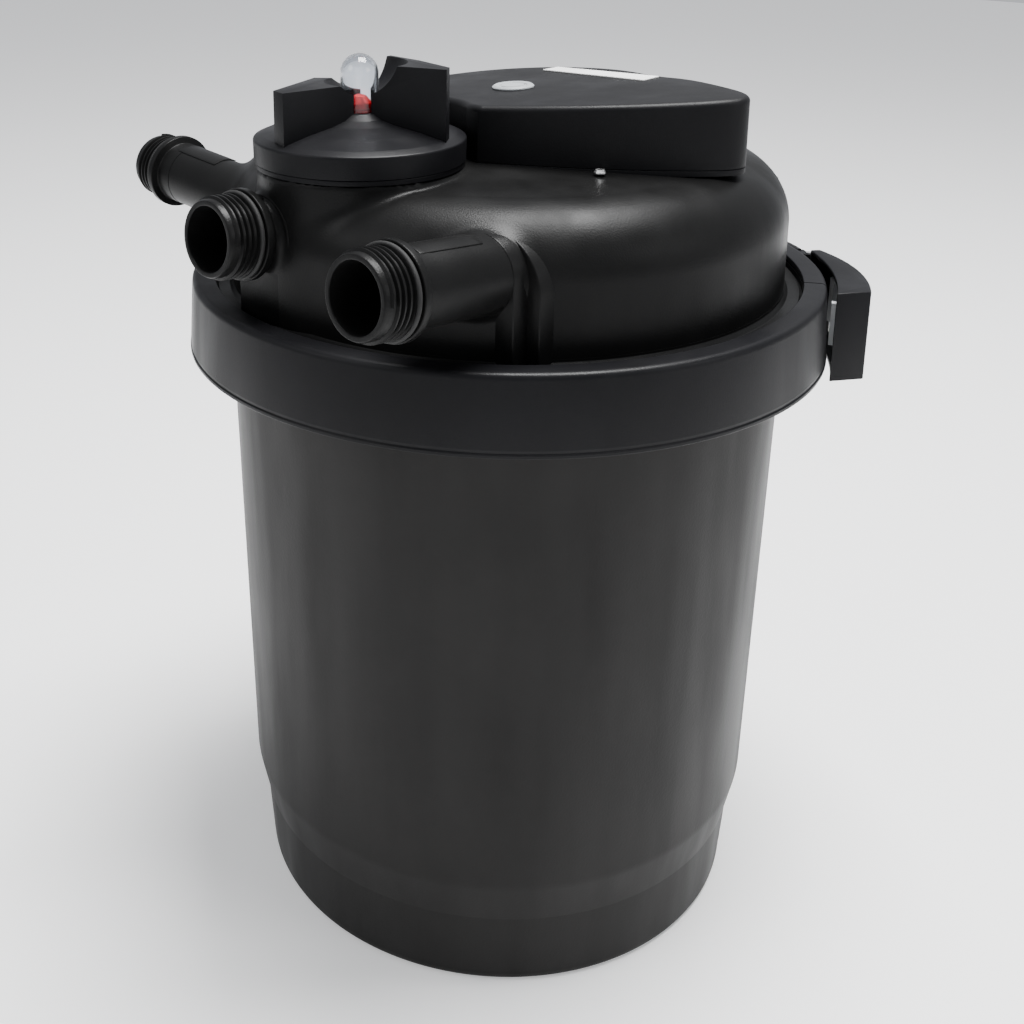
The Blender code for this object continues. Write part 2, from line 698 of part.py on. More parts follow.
def make_lamp_box():
    """A shallow tray on the lid and the tall cover that closes over it."""
    base = prism("uv_box_base", box_outline(), BOX_LOW - 0.0140, BOX_SPLIT, BOX_BLACK)
    tray = prism("base_tray", box_outline(0.0040), BOX_LOW + 0.0025, BOX_SPLIT + 0.01)
    dome = [(radius, height + GAP) for radius, height in lid_profile()[:7]]
    under = turned("base_under", dome + [(LID_R, 0.4550), (0.0, 0.4550)], ROUND, None, closed=False)
    cut(base, [tray, under, cylinder("base_lamp_hole", SLEEVE_R + 0.0075, 0.4850, 0.5250)])
    cover = prism("uv_box_cover", box_outline(), BOX_SPLIT + GAP, 0.6050, BOX_BLACK)
    sloped_top(cover, 0.5550)
    round_edges(cover, 0.0040, 2, 60.0)
    hollow = prism("cover_hollow", box_outline(0.0035), BOX_SPLIT - 0.01, 0.6050)
    sloped_top(hollow, 0.5550, 0.0035)
    seat = place(cylinder("lens_seat", LENS_R - 0.0020, 0.5150, 0.6050), (LENS_X, LENS_Y, 0.0))
    cut(cover, [hollow, seat])


def make_lens():
    """A round window that glows while the lamp burns."""
    flange = 0.0022
    profile = [
        (0.0, flange), (LENS_R - 0.0015, flange), (LENS_R, flange - 0.0012), (LENS_R, GAP),
        (LENS_R - 0.0024, GAP), (LENS_R - 0.0024, -0.0050), (0.0, -0.0050),
    ]
    lens = turned("lamp_window", profile, SMALL, LIGHT_GREY, closed=False)
    rise = (BOX_TOP_RIGHT - BOX_TOP_LEFT) / (SLOPE_END - SLOPE_START)
    tilt = math.degrees(math.atan(rise))
    place(lens, (LENS_X, LENS_Y, top_height(LENS_X, LENS_Y)), (0.0, -tilt, SLOPE_AZIMUTH))


def make_plate():
    """A blank rating plate stuck on the cover."""
    outline = [(-0.0180, 0.0530), (0.0660, 0.0500), (0.0660, 0.0660), (-0.0160, 0.0660)]
    plate = prism("rating_plate", outline, GAP, GAP + 0.0006, PLATE_WHITE)
    for vertex in plate.data.vertices:
        vertex.co.z += top_height(vertex.co.x, vertex.co.y)


def make_gland():
    """The cable's way out of the box: a threaded gland and its nut. No cable is fitted."""
    start = GAP
    gland = tube("cable_gland", 0.0036, 0.0068, start, 0.0120, LIGHT_GREY, 16)
    nut = tube("gland_nut", 0.0036, 0.0088, 0.0123, 0.0190, LIGHT_GREY, 6)
    for piece in (gland, nut):
        place(piece, (GLAND_X, GLAND_Y, GLAND_Z), (0.0, 90.0, GLAND_AZIMUTH))


def make_lamp():
    """Lamp, socket and quartz sleeve hang down the middle of the filter."""
    cylinder("lamp_holder", SLEEVE_R - 0.0018, 0.4850, 0.5210, PLATE_WHITE)
    wall = 0.0014
    dome = arc((0.0, SLEEVE_BOTTOM + SLEEVE_R), SLEEVE_R, 0.0, -90.0, 5)
    dome_inside = arc((0.0, SLEEVE_BOTTOM + SLEEVE_R), SLEEVE_R - wall, -90.0, 0.0, 5)
    sleeve = dome_inside + [(SLEEVE_R - wall, 0.5090), (SLEEVE_R, 0.5090)] + dome
    turned("quartz_sleeve", sleeve, SMALL, QUARTZ, closed=False)
    cylinder("uv_lamp", 0.0080, SLEEVE_BOTTOM + 0.010, 0.4847, LAMP_WHITE)
    seal = torus("sleeve_seal", SLEEVE_R + GAP + 0.0022, 0.0020, RUBBER_BLACK)
    place(seal, (0.0, 0.0, 0.4953))
    nut = [
        (SLEEVE_R + GAP, LID_TOP + 0.0010), (0.0180, LID_TOP + 0.0010), (0.0180, LID_TOP - LID_WALL - 0.0004),
        (0.0230, LID_TOP - LID_WALL - 0.0004), (0.0230, 0.4890), (SLEEVE_R + GAP, 0.4890),
        (SLEEVE_R + GAP, 0.4925), (0.0178, 0.4925), (0.0178, 0.4990), (SLEEVE_R + GAP, 0.4990),
    ]
    turned("sleeve_nut", nut, SMALL, GRID_GREY)
    box("ballast", (0.0400, 0.0060, BOX_LOW + 0.0030), (0.1000, 0.0480, 0.5300), STEEL)


def make_media():
    """Foam rings round a riser tube, between a lower and an upper grid."""
    foam_top = FOAM_BOTTOM + FOAM_COUNT * FOAM_HEIGHT
    hole = RISER_R + GAP + 0.0005
    riser_low = WALL + 0.0015
    riser = tube("riser_tube", RISER_R - RISER_WALL, RISER_R, riser_low, foam_top + 0.040, GRID_GREY, 32)
    slots = []
    for index in range(3):
        slot = box("riser_slot_%d" % index, (-0.05, -0.007, 0.025), (0.05, 0.007, 0.060))
        slots.append(place(slot, rotation=(0.0, 0.0, 60.0 * index)))
    cut(riser, slots)
    grids = (("lower_grid", FOAM_BOTTOM - 0.0060, 0.1610), ("upper_grid", foam_top + GAP, 0.1640))
    for name, low, radius in grids:
        grid = tube(name, hole, radius, low, low + 0.0055, GRID_GREY, 40)
        holes = []
        for index in range(8):
            x, y = polar(0.100, 45.0 * index)
            drill = cylinder(name + "_hole_%d" % index, 0.0220, low - 0.01, low + 0.02, None, 12)
            holes.append(place(drill, (x, y, 0.0)))
        cut(grid, holes)
    for index in range(FOAM_COUNT):
        low = FOAM_BOTTOM + FOAM_HEIGHT * index
        material = FOAM_BLUE if index < 2 else FOAM_GREEN
        tube("foam_ring_%d" % (index + 1), hole, FOAM_R, low, low + FOAM_HEIGHT - GAP, material, 24)


def make_small_parts():
    """The screw at the foot of the lamp box and the clip for its cable."""
    screw_head = [
        (0.0, LID_TOP + 0.0016), (0.0026, LID_TOP + 0.0014), (0.0036, LID_TOP - 0.0002),
        (0.0036, LID_TOP - 0.0008), (0.0, LID_TOP - 0.0008),
    ]
    place(turned("lid_screw", screw_head, 12, STEEL, closed=False), (SCREW_X, SCREW_Y, 0.0002))
    clip = box("cable_clip", (SHOULDER_R + 0.0008, -0.008, -0.006), (SHOULDER_R + 0.0045, 0.008, 0.006), BOX_BLACK)
    x, y = polar(LID_R - SHOULDER_R, CLIP_AZIMUTH)
    place(clip, (x, y, LID_TOP - DOME_DROP - SHOULDER_R), (0.0, -CLIP_PITCH, CLIP_AZIMUTH))


make_container()
make_clamp_ring()
make_pivot_bracket()
make_lever()
make_link()
make_catch_bracket()
make_clamp_pins()
make_lid()
make_port_seals()
make_lid_seal()
make_valve_collar()
make_rotor()
make_rotor_seals()
make_knob()
make_sight_glass()
make_indicator()
make_lamp_box()
make_lens()
make_plate()
make_gland()
make_lamp()
make_media()
make_small_parts()
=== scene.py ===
# %% [markdown]
# # A pond canister filter
#
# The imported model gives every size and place. It is loaded first and never moved. The pieces made
# here are finer versions of its solids, in the same metres and on the same axes.

# %% Load the frame
import json
from math import atan, atan2, cos, hypot, pi, radians, sin, tau

import bmesh
import bpy
import numpy as np
from mathutils import Matrix, Vector


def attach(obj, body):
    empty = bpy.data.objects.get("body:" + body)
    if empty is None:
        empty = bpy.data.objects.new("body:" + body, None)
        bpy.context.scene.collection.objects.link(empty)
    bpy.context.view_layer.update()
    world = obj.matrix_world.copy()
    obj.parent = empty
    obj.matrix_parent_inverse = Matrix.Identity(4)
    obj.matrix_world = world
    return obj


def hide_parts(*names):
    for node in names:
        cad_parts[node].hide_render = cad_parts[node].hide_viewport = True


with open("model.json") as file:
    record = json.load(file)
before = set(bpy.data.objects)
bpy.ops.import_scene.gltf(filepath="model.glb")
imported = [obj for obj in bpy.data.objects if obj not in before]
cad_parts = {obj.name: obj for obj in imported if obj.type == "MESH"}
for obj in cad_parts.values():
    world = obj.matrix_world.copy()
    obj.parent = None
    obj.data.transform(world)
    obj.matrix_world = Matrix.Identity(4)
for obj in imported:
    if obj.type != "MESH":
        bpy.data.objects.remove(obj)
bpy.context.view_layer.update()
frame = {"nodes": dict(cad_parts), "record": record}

# %% [markdown]
# ## Camera
#
# The filter is seen from its port side, a little from above, through a normal lens. The lens is
# shifted instead of tilted further, which keeps the bucket's sides as upright as they look.

# %% Camera
camera_data = bpy.data.cameras.new("camera")
camera_data.sensor_width = 36.0
camera_data.lens = 47.756
camera_data.shift_x = 0.0962
camera_data.shift_y = -0.2442
camera = bpy.data.objects.new("camera", camera_data)
camera.location = (0.5666, -0.6292, 0.6733)
camera.rotation_euler = (radians(73.338), 0.0, radians(46.04))
bpy.context.scene.collection.objects.link(camera)
bpy.context.scene.camera = camera

# %% [markdown]
# ## Floor and light
#
# Black plastic shows only what it reflects. A broad overhead light gives the soft grey tops, and a
# dim sky keeps the bucket's sides dark. The floor gives off a little light, so that it stays pale.

# %% Floor
floor_shape = bmesh.new()
bmesh.ops.create_grid(floor_shape, x_segments=1, y_segments=1, size=6.0)
floor_mesh = bpy.data.meshes.new("floor")
floor_shape.to_mesh(floor_mesh)
floor_shape.free()
floor = bpy.data.objects.new("floor", floor_mesh)
bpy.context.scene.collection.objects.link(floor)
paint = bpy.data.materials.new("floor_paint")
paint.use_nodes = True
floor_shader = paint.node_tree.nodes["Principled BSDF"]
floor_shader.inputs["Base Color"].default_value = (0.88, 0.88, 0.88, 1.0)
floor_shader.inputs["Emission Color"].default_value = (1.0, 1.0, 1.0, 1.0)
floor_shader.inputs["Emission Strength"].default_value = 0.3
floor_shader.inputs["Roughness"].default_value = 0.9
floor_shader.inputs["Specular IOR Level"].default_value = 0.1
floor_mesh.materials.append(paint)

# %% Lights
world = bpy.data.worlds.new("studio")
world.use_nodes = True
world.node_tree.nodes["Background"].inputs["Color"].default_value = (0.93, 0.95, 1.0, 1.0)
world.node_tree.nodes["Background"].inputs["Strength"].default_value = 0.60
bpy.context.scene.world = world


def soft_light(name, place, aim, width, power):
    """A square area light that looks from its place at a point."""
    light = bpy.data.lights.new(name, "AREA")
    light.shape = "SQUARE"
    light.size = width
    light.energy = power
    lamp = bpy.data.objects.new(name, light)
    lamp.location = place
    lamp.rotation_euler = (Vector(aim) - Vector(place)).to_track_quat("-Z", "Y").to_euler()
    bpy.context.scene.collection.objects.link(lamp)


soft_light("overhead", (0.2, 0.3, 2.4), (0.0, 0.0, 0.4), 1.1, 170.0)
soft_light("front_left", (-0.6, -2.2, 1.7), (0.0, 0.0, 0.35), 1.2, 16.0)
soft_light("right_edge", (2.2, 0.6, 1.3), (0.0, 0.0, 0.4), 0.9, 9.0)

# %% [markdown]
# ## Finishes
#
# Moulded plastic is never one flat colour. Each finish below mixes two close shades with a slow
# noise, gives the surface a fine grain with a bump, and lets long thin scratches change the
# roughness. All patterns read Object coordinates, so they stay put on the piece.

# %% Node helpers


def new_finish(name, colour, roughness, metallic=0.0):
    """A material with one Principled shader, and its tree for adding detail."""
    finish = bpy.data.materials.new(name)
    finish.use_nodes = True
    tree = finish.node_tree
    shader = tree.nodes["Principled BSDF"]
    shader.inputs["Base Color"].default_value = (*colour, 1.0)
    shader.inputs["Roughness"].default_value = roughness
    shader.inputs["Metallic"].default_value = metallic
    return finish, tree, shader


def noise(tree, scale, detail=4.0, stretch=(1.0, 1.0, 1.0)):
    """Noise on Object coordinates; stretch draws it out into streaks."""
    place = tree.nodes.new("ShaderNodeTexCoord")
    mapping = tree.nodes.new("ShaderNodeMapping")
    mapping.inputs["Scale"].default_value = stretch
    pattern = tree.nodes.new("ShaderNodeTexNoise")
    pattern.inputs["Scale"].default_value = scale
    pattern.inputs["Detail"].default_value = detail
    tree.links.new(place.outputs["Object"], mapping.inputs["Vector"])
    tree.links.new(mapping.outputs["Vector"], pattern.inputs["Vector"])
    return pattern.outputs["Fac"]


def ramp(tree, value, low, high, start, end):
    """A value between low and high becomes a colour or grey between start and end."""
    band = tree.nodes.new("ShaderNodeValToRGB")
    band.color_ramp.elements[0].position = low
    band.color_ramp.elements[1].position = high
    band.color_ramp.elements[0].color = (*start, 1.0)
    band.color_ramp.elements[1].color = (*end, 1.0)
    tree.links.new(value, band.inputs["Fac"])
    return band.outputs["Color"]


def grain(tree, shader, value, height, strength, under=None):
    """A bump from a pattern, on top of another bump if one is given."""
    bump = tree.nodes.new("ShaderNodeBump")
    bump.inputs["Distance"].default_value = height
    bump.inputs["Strength"].default_value = strength
    tree.links.new(value, bump.inputs["Height"])
    if under is not None:
        tree.links.new(under, bump.inputs["Normal"])
    tree.links.new(bump.outputs["Normal"], shader.inputs["Normal"])
    return bump.outputs["Normal"]


def shade(colour, factor):
    """The same colour, lighter or darker."""
    return tuple(part * factor for part in colour)


# %% Moulded plastic


def moulded(name, colour, roughness, grain_scale=900.0, grain_height=0.00015, level=0.12):
    """Moulded plastic: cloudy shades, scuffs that run along the piece, and a fine grain."""
    finish, tree, shader = new_finish(name, colour, roughness)
    shader.inputs["Specular IOR Level"].default_value = level
    clouds = noise(tree, 9.0, 5.0)
    tint = ramp(tree, clouds, 0.35, 0.68, shade(colour, 0.8), shade(colour, 1.25))
    tree.links.new(tint, shader.inputs["Base Color"])
    scuffs = noise(tree, 26.0, 7.0, (1.0, 1.0, 0.16))
    worn = (roughness - 0.06,) * 3
    dull = (roughness + 0.10,) * 3
    tree.links.new(ramp(tree, scuffs, 0.36, 0.66, worn, dull), shader.inputs["Roughness"])
    waves = grain(tree, shader, noise(tree, 14.0, 2.0), 0.0003, 0.06)
    grain(tree, shader, noise(tree, grain_scale, 2.0), grain_height, 0.5, waves)
    return finish


bucket_black = moulded("bucket_black", (0.0080, 0.0077, 0.0073), 0.50, 700.0)
lid_black = moulded("lid_black", (0.0045, 0.0045, 0.0045), 0.37, 1000.0, 0.00020, 0.10)
clamp_black = moulded("clamp_black", (0.0048, 0.0048, 0.0056), 0.40, 1200.0)
box_black = moulded("box_black", (0.0045, 0.0045, 0.0051), 0.44, 1000.0)
inner_grey = moulded("inner_grey", (0.060, 0.060, 0.060), 0.52, 500.0)
window_grey = moulded("window_grey", (0.26, 0.27, 0.28), 0.32, 900.0)
light_grey = moulded("light_grey", (0.46, 0.47, 0.48), 0.38, 900.0)
plate_white = moulded("plate_white", (0.80, 0.80, 0.79), 0.45, 1500.0)
float_red = moulded("float_red", (0.40, 0.001, 0.006), 0.30, 800.0)
lamp_white = moulded("lamp_white", (0.88, 0.88, 0.90), 0.28, 400.0)
rubber_black = moulded("rubber_black", (0.010, 0.010, 0.010), 0.70, 1600.0, 0.0002, 0.3)

# %% Metal, glass and foam


def turned_steel(name):
    """Bare steel with fine streaks round the part."""
    finish, tree, shader = new_finish(name, (0.60, 0.60, 0.61), 0.30, 1.0)
    streaks = noise(tree, 300.0, 3.0, (1.0, 1.0, 12.0))
    tree.links.new(ramp(tree, streaks, 0.3, 0.7, (0.20,) * 3, (0.42,) * 3), shader.inputs["Roughness"])
    tree.links.new(ramp(tree, streaks, 0.3, 0.7, (0.50,) * 3, (0.66,) * 3), shader.inputs["Base Color"])
    return finish


def clear(name, colour, cover):
    """Clear glass or plastic with faint smears; cover is the strength of its outer gloss."""
    finish, tree, shader = new_finish(name, colour, 0.06)
    shader.inputs["Transmission Weight"].default_value = 1.0
    shader.inputs["IOR"].default_value = 1.30
    shader.inputs["Coat Weight"].default_value = cover
    smears = noise(tree, 60.0, 4.0)
    tree.links.new(ramp(tree, smears, 0.4, 0.7, (0.03,) * 3, (0.14,) * 3), shader.inputs["Roughness"])
    grain(tree, shader, noise(tree, 90.0, 2.0), 0.0002, 0.3)
    return finish


def open_foam(name, colour):
    """Filter foam, with painted shade in its open cells and lighter cell walls."""
    finish, tree, shader = new_finish(name, colour, 0.95)
    cells = tree.nodes.new("ShaderNodeTexVoronoi")
    cells.inputs["Scale"].default_value = 450.0
    place = tree.nodes.new("ShaderNodeTexCoord")
    tree.links.new(place.outputs["Object"], cells.inputs["Vector"])
    # painted shade: the colour falls to a third towards each cell's middle, where a pore would be in shade
    tint = ramp(tree, cells.outputs["Distance"], 0.1, 0.6, shade(colour, 0.35), shade(colour, 1.3))
    tree.links.new(tint, shader.inputs["Base Color"])
    grain(tree, shader, cells.outputs["Distance"], 0.0012, 0.8)
    return finish


steel = turned_steel("steel")
sight_clear = clear("sight_clear", (0.93, 0.96, 1.0), 0.5)
quartz_clear = clear("quartz_clear", (0.95, 0.97, 1.0), 0.2)
foam_blue = open_foam("foam_blue", (0.05, 0.16, 0.36))
foam_green = open_foam("foam_green", (0.06, 0.26, 0.12))
print("finishes", len(bpy.data.materials))

# %% [markdown]
# ## Making pieces
#
# A few helpers serve every piece. A turned piece is a half section spun about Z. Its section is a
# short list of corners, each with its own rounding, because moulded edges are never sharp.

# %% Shape helpers


def rounded(corners, steps=5):
    """Corners (r, z, rounding) become points, with an arc in place of each rounded corner."""
    points = []
    for index, (across, up, radius) in enumerate(corners):
        here = Vector((across, up))
        if radius == 0.0 or index in (0, len(corners) - 1):
            points.append(here)
            continue
        before = Vector(corners[index - 1][:2]) - here
        after = Vector(corners[index + 1][:2]) - here
        half = before.angle(after) / 2.0
        reach = min(radius / max(abs(np.tan(half)), 0.001), before.length * 0.49, after.length * 0.49)
        start = here + before.normalized() * reach
        end = here + after.normalized() * reach
        for step in range(steps + 1):
            share = step / steps
            points.append(start * (1 - share) ** 2 + here * 2 * share * (1 - share) + end * share ** 2)
    return points


def spun(shape, points, steps=160, loop=False, angle=tau):
    """Spin a section about Z into a bmesh. A loop is a closed section away from the axis."""
    corners = [shape.verts.new((point[0], 0.0, point[1])) for point in points]
    edges = [shape.edges.new(pair) for pair in zip(corners, corners[1:])]
    if loop:
        edges.append(shape.edges.new((corners[-1], corners[0])))
    bmesh.ops.spin(shape, geom=corners + edges, cent=(0, 0, 0), axis=(0, 0, 1), dvec=(0, 0, 0),
                   angle=angle, steps=steps, use_merge=angle == tau, use_duplicate=False)
    bmesh.ops.remove_doubles(shape, verts=shape.verts, dist=0.000001)
    bmesh.ops.recalc_face_normals(shape, faces=shape.faces)


def turned(corners, steps=160, loop=False):
    """A turned piece from its rounded section."""
    shape = bmesh.new()
    spun(shape, rounded(corners), steps, loop)
    return shape


def slab(outline, low, high):
    """An upright block over a flat outline."""
    shape = bmesh.new()
    face = shape.faces.new([shape.verts.new((x, y, low)) for x, y in outline])
    raised = bmesh.ops.extrude_face_region(shape, geom=[face])["geom"]
    raised = [item for item in raised if isinstance(item, bmesh.types.BMVert)]
    bmesh.ops.translate(shape, vec=(0.0, 0.0, high - low), verts=raised)
    bmesh.ops.recalc_face_normals(shape, faces=shape.faces)
    return shape


def soften(shape, width, segments=3, angle=35.0):
    """Bevel every edge that is sharper than the angle."""
    sharp = [edge for edge in shape.edges
             if len(edge.link_faces) == 2 and edge.calc_face_angle() > radians(angle)]
    bmesh.ops.bevel(shape, geom=sharp, offset=width, offset_type="OFFSET", segments=segments,
                    profile=0.5, affect="EDGES", clamp_overlap=True, material=-1)


def polar(radius, azimuth):
    """A point on the plan, from its radius in metres and its azimuth in degrees."""
    return Vector((radius * cos(radians(azimuth)), radius * sin(radians(azimuth))))


def moved(shape, matrix):
    """Place a bmesh, and hand it back."""
    bmesh.ops.transform(shape, matrix=matrix, verts=shape.verts)
    return shape


def object_of(shape, name):
    """An object from a bmesh, which is used up."""
    mesh = bpy.data.meshes.new(name)
    shape.to_mesh(mesh)
    shape.free()
    piece = bpy.data.objects.new(name, mesh)
    bpy.context.scene.collection.objects.link(piece)
    return piece


def together(name, shapes):
    """One mesh from several bmeshes."""
    whole = bmesh.new()
    for shape in shapes:
        mesh = bpy.data.meshes.new("part")
        shape.to_mesh(mesh)
        shape.free()
        whole.from_mesh(mesh)
        bpy.data.meshes.remove(mesh)
    return object_of(whole, name)


def cut_away(piece, cutters):
    """Take the cutters away from a piece for good."""
    for cutter in cutters:
        change = piece.modifiers.new("cut", "BOOLEAN")
        change.operation = "DIFFERENCE"
        change.solver = "EXACT"
        change.object = cutter
    view = bpy.context.evaluated_depsgraph_get()
    result = bpy.data.meshes.new_from_object(piece.evaluated_get(view))
    piece.modifiers.clear()
    piece.data = result
    for cutter in cutters:
        bpy.data.objects.remove(cutter, do_unlink=True)


def done(piece, finish, body, replaced=(), sharp=32.0):
    """Finish a piece: shading, material, and its place in the model."""
    piece.data.shade_smooth()
    piece.data.set_sharp_from_angle(angle=radians(sharp))
    piece.data.materials.clear()
    piece.data.materials.append(finish)
    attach(piece, body)
    if replaced:
        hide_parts(*replaced)
    print(piece.name, len(piece.data.polygons), "faces")
    return piece


# %% [markdown]
# ## Bucket
#
# The bucket is one deep moulding, so it is one turned section: a slight taper for the mould, a step
# near the foot, and a flange under the clamp ring.

# %% Bucket
RIM_Z = 0.4020
FLANGE_R = 0.1940
bucket_section = [
    (0.0, 0.0045, 0.0), (0.1520, 0.0045, 0.004), (0.1575, 0.0110, 0.004), (0.1608, 0.0500, 0.01),
    (0.1668, 0.0780, 0.02), (0.1738, 0.3890, 0.0), (0.1738, RIM_Z, 0.001), (FLANGE_R, RIM_Z, 0.001),
    (FLANGE_R, 0.3890, 0.001), (0.1773, 0.3890, 0.003), (0.1703, 0.0780, 0.030),
    (0.1642, 0.0500, 0.0015), (0.1605, 0.0, 0.006), (0.1300, 0.0, 0.001), (0.1290, 0.0012, 0.001),
    (0.0, 0.0012, 0.0),
]
bucket = object_of(turned(bucket_section, 200), "bucket")
done(bucket, bucket_black, "root", ["container"], 40.0)

# %% [markdown]
# ## Clamp ring
#
# The ring squeezes bucket and lid together. It is a channel section that is split once. Here the
# closed section is spun a little short of a full turn, and its two ends are capped. A thin bead
# runs round its lower edge.

# %% Clamp ring
SPLIT_AZIMUTH = 32.0
SPLIT_HALF = 0.17
ring_section = rounded([
    (0.1868, 0.4195, 0.0), (0.1868, 0.4210, 0.001), (0.2008, 0.4210, 0.0042), (0.2034, 0.3795, 0.001),
    (0.2031, 0.3778, 0.0004), (0.2038, 0.3770, 0.0004), (0.2038, 0.3750, 0.0006), (0.1993, 0.3750, 0.001),
    (0.1987, 0.3830, 0.003), (0.1872, 0.3857, 0.001), (0.1870, 0.3886, 0.001), (0.1950, 0.3887, 0.0),
    (0.1950, 0.4172, 0.0), (0.1868, 0.4172, 0.0008), (0.1868, 0.4195, 0.0),
])[:-1]
ring_shape = bmesh.new()
section = ring_shape.faces.new([ring_shape.verts.new((p[0], 0.0, p[1])) for p in ring_section])
bmesh.ops.spin(ring_shape, geom=[section], cent=(0, 0, 0), axis=(0, 0, 1), dvec=(0, 0, 0),
               angle=tau - radians(2 * SPLIT_HALF), steps=220, use_merge=False, use_duplicate=False)
bmesh.ops.recalc_face_normals(ring_shape, faces=ring_shape.faces)
moved(ring_shape, Matrix.Rotation(radians(SPLIT_AZIMUTH + SPLIT_HALF), 4, "Z"))
clamp_ring = object_of(ring_shape, "clamp_ring_fine")
done(clamp_ring, clamp_black, "root", ["clamp_ring"], 40.0)

# %% [markdown]
# ## Clamp lever
#
# The lever bends round the ring. It is a flat outline pushed up, opened on the ring's side by an
# inset, and softened with a bevel. A web and a barrel carry it on its pin.

# %% Clamp lever
LEVER_LOW = 0.3650
LEVER_HIGH = 0.4215
LEVER_INNER_R = 0.2066
LEVER_THIN_R = 0.2130
LEVER_END = 26.2
LEVER_SPAN = 26.8
LEVER_LEAN = 2.9
LEVER_DEPTH = 0.0132
LEVER_RECESS = 0.0100
LEVER_WALL = 0.0030
LEVER_TAPER = 2.2
BARREL_LOW = 0.3865
BARREL_HIGH = 0.4095
PIN_R = 0.0021
BARREL_R = 0.0042
lever_outer = []
lever_inner = []
for index in range(25):
    share = index / 24
    azimuth = LEVER_END + LEVER_SPAN * share
    depth = LEVER_DEPTH * (1.0 - share ** LEVER_TAPER)
    lever_outer.append(polar(LEVER_THIN_R + depth, azimuth + LEVER_LEAN * (1.0 - share)))
    lever_inner.append(polar(LEVER_INNER_R, azimuth))
lever_shape = slab(lever_outer + lever_inner[::-1], LEVER_LOW, LEVER_HIGH)
ring_side = []
for face in lever_shape.faces:
    middle = face.calc_center_median()
    if abs(face.normal.z) < 0.5 and hypot(middle.x, middle.y) < LEVER_INNER_R + 0.0004:
        ring_side.append(face)
bmesh.ops.inset_region(lever_shape, faces=ring_side, thickness=LEVER_WALL, depth=0.0,
                       use_even_offset=True)
pushed = bmesh.ops.extrude_face_region(lever_shape, geom=ring_side)["geom"]
for item in pushed:
    if isinstance(item, bmesh.types.BMVert):
        place = Vector((item.co.x, item.co.y))
        azimuth = atan2(place.y, place.x)
        share = min(max((azimuth - radians(LEVER_END)) / radians(LEVER_SPAN), 0.0), 1.0)
        reach = place.length + LEVER_WALL + LEVER_RECESS * (1.0 - share ** LEVER_TAPER)
        azimuth += radians(LEVER_LEAN) * (1.0 - share)
        item.co.x = reach * cos(azimuth)
        item.co.y = reach * sin(azimuth)
bmesh.ops.delete(lever_shape, geom=ring_side, context="FACES_ONLY")
soften(lever_shape, 0.0012, 3, 50.0)
pivot = polar(0.2088, 55.0)
barrel = turned([
    (PIN_R, BARREL_LOW, 0.0), (BARREL_R, BARREL_LOW, 0.0004), (BARREL_R, BARREL_HIGH, 0.0004),
    (PIN_R, BARREL_HIGH, 0.0),
], 32, True)
moved(barrel, Matrix.Translation((pivot.x, pivot.y, 0.0)))
web = slab([polar(0.2072, 50.0), polar(0.2128, 50.0), pivot + Vector((0.0012, 0.0033)),
            pivot + Vector((-0.0008, -0.0020))], 0.3868, 0.4092)
soften(web, 0.0004, 2)
lever = together("clamp_lever_fine", [lever_shape, barrel, web])
done(lever, clamp_black, "lever", ["clamp_lever"])

# %% [markdown]
# ## Lid
#
# The lid is one moulding in which dome, valve chamber and pipes run into each other with soft
# fillets. Welding separate tubes by hand would leave hard creases, so the rough forms are remeshed
# into one skin, and each point is then moved onto the surface of a smooth blend of the exact forms.
# The distance functions below are those forms.

# %% Lid sizes
VALVE = Vector((-0.0101, -0.1159))
CHAMBER_R = 0.0600
CHAMBER_TOP = 0.5025
LID_R = 0.1750
LID_TOP = 0.5020
SHOULDER_R = 0.0380
LID_FOOT = 0.4120
TILT = radians(4.5)
PORTS = {
    "a": {"mouth": (0.1040, -0.22248, 0.4710), "way": (0.0, cos(TILT), -sin(TILT)), "pipe": 0.0216,
          "bore": 0.0185, "thread": 0.0239, "collar": 0.0263, "length": 0.110},
    "b": {"mouth": (-0.0300, -0.2120, 0.4710), "way": (0.0, cos(TILT), -sin(TILT)), "pipe": 0.0216,
          "bore": 0.0185, "thread": 0.0239, "collar": 0.0263, "length": 0.060},
    "c": {"mouth": (-0.21398, -0.1200, 0.4710), "way": (cos(TILT), 0.0, -sin(TILT)), "pipe": 0.0195,
          "bore": 0.0165, "thread": 0.0210, "collar": 0.0240, "length": 0.150},
}
# centre x, radius, centre z, front y, back y
HOODS = [
    (0.1040, 0.0221, 0.4640, -0.1330, -0.1000), (0.1040, 0.0310, 0.4545, -0.1225, -0.1000),
    (-0.0260, 0.0232, 0.4680, -0.1765, -0.1400), (-0.0205, 0.0312, 0.4560, -0.1705, -0.1400),
]
PIPE_START = 0.012
DOME_FALL = 0.0045
DOME_FILLET = 0.005
PIPE_FILLET = 0.006
SKIN_CELL = 0.0018
BORE_DEPTH = 0.085

# %% Distance to the lid's forms


def length_of(*parts):
    """The length of a vector from its components."""
    return np.sqrt(sum(part * part for part in parts))


def dome_distance(p):
    reach = length_of(p[:, 0], p[:, 1])
    top = LID_TOP - DOME_FALL * np.clip(reach / (LID_R - SHOULDER_R), 0.0, 1.0) ** 3
    across = reach - (LID_R - SHOULDER_R)
    up = p[:, 2] - (top - SHOULDER_R)
    corner = length_of(np.maximum(across, 0.0), np.maximum(up, 0.0))
    return corner + np.minimum(np.maximum(across, up), 0.0) - SHOULDER_R


def chamber_distance(p):
    reach = length_of(p[:, 0] - VALVE.x, p[:, 1] - VALVE.y)
    return np.maximum(reach - CHAMBER_R, p[:, 2] - CHAMBER_TOP)


